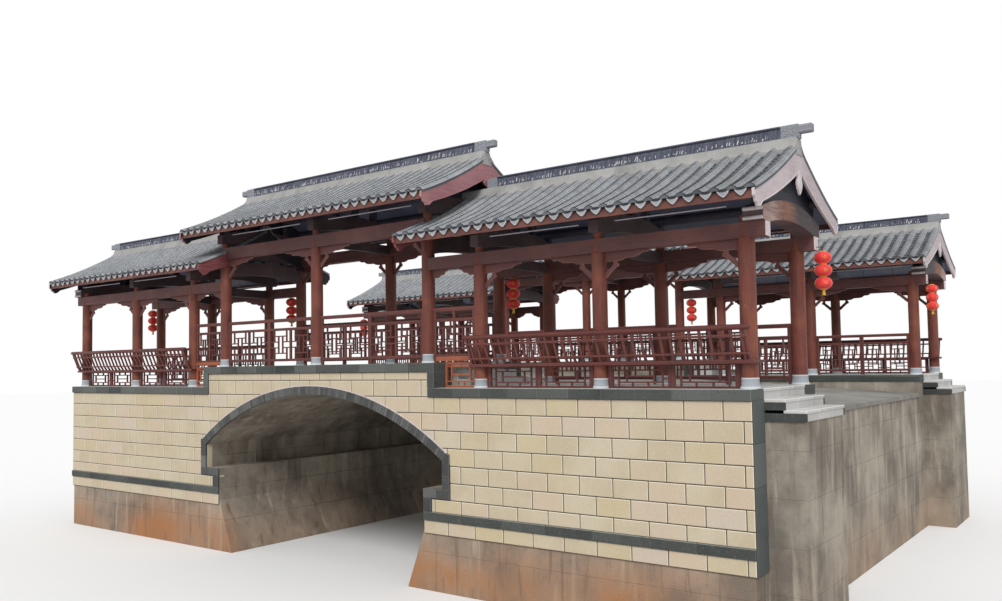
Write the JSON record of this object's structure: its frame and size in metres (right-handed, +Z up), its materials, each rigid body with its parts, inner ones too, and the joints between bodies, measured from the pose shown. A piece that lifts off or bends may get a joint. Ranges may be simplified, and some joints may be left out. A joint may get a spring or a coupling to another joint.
{
  "type": "covered bridge",
  "caption": "Stone-faced arch bridge with a tiled timber walking gallery, benches and lattice railings along each side of a humped roadway.",
  "frame": {"origin": "centre of the bridge in plan, on the ground in the opening under the arch", "axes": "+X along the bridge, +Y from the front gallery across the roadway, +Z up"},
  "size_m": [19.82, 14.5, 8.355],
  "materials": {
    "concrete": "rough weathered concrete",
    "road_stone": "worn stone paving",
    "granite": "dark flamed granite",
    "stone_tile": "buff sandstone tile",
    "pale_stone": "pale dressed stone",
    "post_timber": "red-brown painted timber",
    "beam_timber": "dark brown stained timber",
    "painted_board": "faded red-brown paint",
    "roof_tile": "grey unglazed clay tile",
    "lantern_fabric": "red lantern cloth"
  },
  "bodies": {
    "root": {"back_arch_ring": "granite", "back_coping": "granite", "back_gable_boards": "painted_board", "back_long_beams": "beam_timber", "back_low_roofs": "roof_tile", "back_middle_roof": "roof_tile", "back_posts": "post_timber", "back_ridges": "roof_tile", "back_tile_facing": "stone_tile", "bench_backs": "post_timber", "bench_seats": "post_timber", "crescent_beams": "beam_timber", "cross_ties": "beam_timber", "end_slabs": "granite", "end_treads_bottom": "pale_stone", "end_treads_middle": "pale_stone", "end_treads_top": "pale_stone", "fascia_boards": "painted_board", "front_arch_ring": "granite", "front_coping": "granite", "front_gable_boards": "painted_board", "front_long_beams": "beam_timber", "front_low_roofs": "roof_tile", "front_middle_roof": "roof_tile", "front_posts": "post_timber", "front_ridges": "roof_tile", "front_tile_facing": "stone_tile", "gable_pendants": "painted_board", "gallery_floors": "pale_stone", "hanging_boards": "beam_timber", "inner_treads_lower": "pale_stone", "inner_treads_upper": "pale_stone", "kerbs": "granite", "lantern_strings": "lantern_fabric", "masonry_core": "concrete", "middle_railings": "post_timber", "post_bases": "pale_stone", "purlin_struts": "beam_timber", "purlins": "beam_timber", "road_railings": "post_timber", "roadway": "road_stone", "seat_panels": "post_timber", "stair_railings": "post_timber", "step_cheeks": "granite", "string_courses": "granite"}
  },
  "joints": []
}
